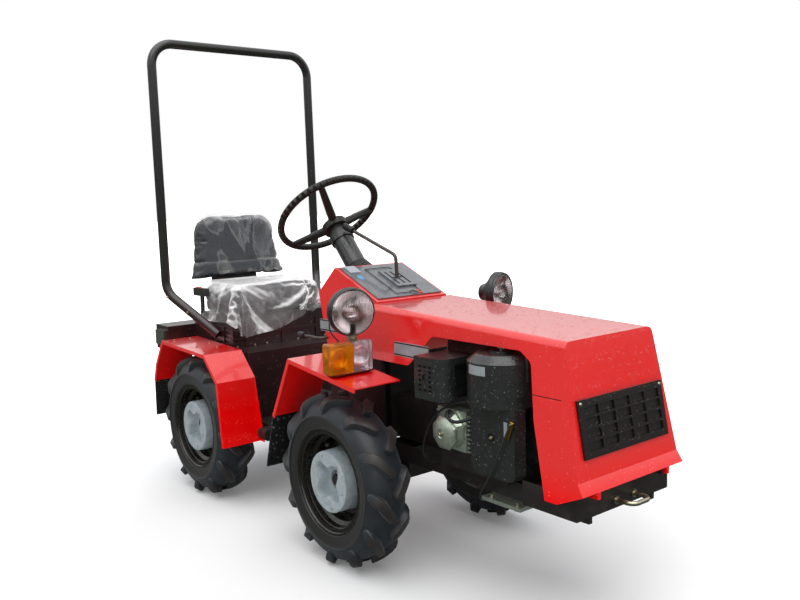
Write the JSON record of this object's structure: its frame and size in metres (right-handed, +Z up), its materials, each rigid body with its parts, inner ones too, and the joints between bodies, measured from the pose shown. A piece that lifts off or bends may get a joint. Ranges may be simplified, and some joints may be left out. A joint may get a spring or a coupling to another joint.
{
  "type": "small articulated four-wheel tractor",
  "caption": "Compact garden tractor hinged at its middle, with a tilting hood, open engine side, driver's seat and a tall roll bar.",
  "frame": {"origin": "on the ground, under the middle of the overall box", "axes": "+X forward, +Y to the tractor's left, +Z up"},
  "size_m": [2.5, 0.92, 1.9998],
  "materials": {
    "red_paint": "gloss",
    "black_paint": "satin",
    "flap_rubber": "matt",
    "grey_metal": "satin",
    "black_plastic": "satin",
    "lamp_lens": "clear",
    "engine_grey": "cast",
    "zinc": "zinc plated",
    "seat_cover": "artificial leather",
    "tyre": "matt",
    "wheel_metal": "satin"
  },
  "bodies": {
    "front_half": {"front_frame": "black_paint", "front_axle": "black_paint", "front_bumper": "black_paint", "tow_loop": "zinc", "transmission": "black_paint", "engine_block": "engine_grey", "cylinder_head": "engine_grey", "fan_housing": "black_plastic", "muffler": "black_paint", "air_cleaner": "black_plastic", "intake_cover": "black_plastic", "engine_mount": "zinc", "fuel_tank": "black_plastic", "front_support": "black_paint", "console": "red_paint", "dash_plate": "grey_metal", "gear_lever": "black_plastic", "side_lever": "black_plastic", "steering_column": "black_plastic", "front_fenders": "red_paint", "front_flaps": "flap_rubber", "indicators": "lamp_lens", "headlamps": "black_plastic", "pivot_fork": "black_paint", "throttle_cable": "black_plastic", "lamp_wire_right": "black_plastic", "lamp_wire_left": "black_plastic"},
    "rear_half": {"rear_frame": "black_paint", "rear_axle": "black_paint", "pivot_arm": "black_paint", "seat_box": "black_paint", "cargo_box": "black_paint", "tail_lamps": "lamp_lens", "drawbar": "black_paint", "rear_fenders": "red_paint", "rear_flaps": "flap_rubber", "seat_base": "black_paint", "seat_cushion": "seat_cover", "seat_back": "seat_cover", "belt_buckle": "black_plastic", "roll_bar": "black_paint", "step_plates": "black_paint"},
    "hood": {"hood": "red_paint", "grille": "black_paint"},
    "steering_wheel": {"steering_wheel": "black_plastic"},
    "wheel_front_right": {"wheel_front_right": "wheel_metal", "tyre_front_right": "tyre"},
    "wheel_front_left": {"wheel_front_left": "wheel_metal", "tyre_front_left": "tyre"},
    "wheel_rear_right": {"wheel_rear_right": "wheel_metal", "tyre_rear_right": "tyre"},
    "wheel_rear_left": {"wheel_rear_left": "wheel_metal", "tyre_rear_left": "tyre"}
  },
  "joints": [
    {"name": "wheel_front_right_spin", "type": "hinge", "parent": "front_half", "child": "wheel_front_right", "pos_m": [0.26, -0.35, 0.305], "axis": [0, 1, 0], "continuous": true},
    {"name": "wheel_front_left_spin", "type": "hinge", "parent": "front_half", "child": "wheel_front_left", "pos_m": [0.26, 0.35, 0.305], "axis": [0, 1, 0], "continuous": true},
    {"name": "wheel_rear_right_spin", "type": "hinge", "parent": "rear_half", "child": "wheel_rear_right", "pos_m": [-0.77, -0.35, 0.305], "axis": [0, 1, 0], "continuous": true},
    {"name": "wheel_rear_left_spin", "type": "hinge", "parent": "rear_half", "child": "wheel_rear_left", "pos_m": [-0.77, 0.35, 0.305], "axis": [0, 1, 0], "continuous": true},
    {"name": "articulation", "type": "hinge", "parent": "front_half", "child": "rear_half", "pos_m": [-0.255, 0, 0.4], "axis": [0, 0, 1], "range_deg": [-28, 28]},
    {"name": "steering_turn", "type": "hinge", "parent": "front_half", "child": "steering_wheel", "pos_m": [-0.23194, 0, 1.15628], "axis": [-0.6691, 0, 0.7431], "range_deg": [-506, 506]},
    {"name": "hood_hinge", "type": "hinge", "parent": "front_half", "child": "hood", "pos_m": [1.196, 0, 0.44], "axis": [0, 1, 0], "range_deg": [0, 70]}
  ],
  "couplings": [
    {"joint": "steering_turn", "follows": "articulation", "ratio": -18}
  ]
}
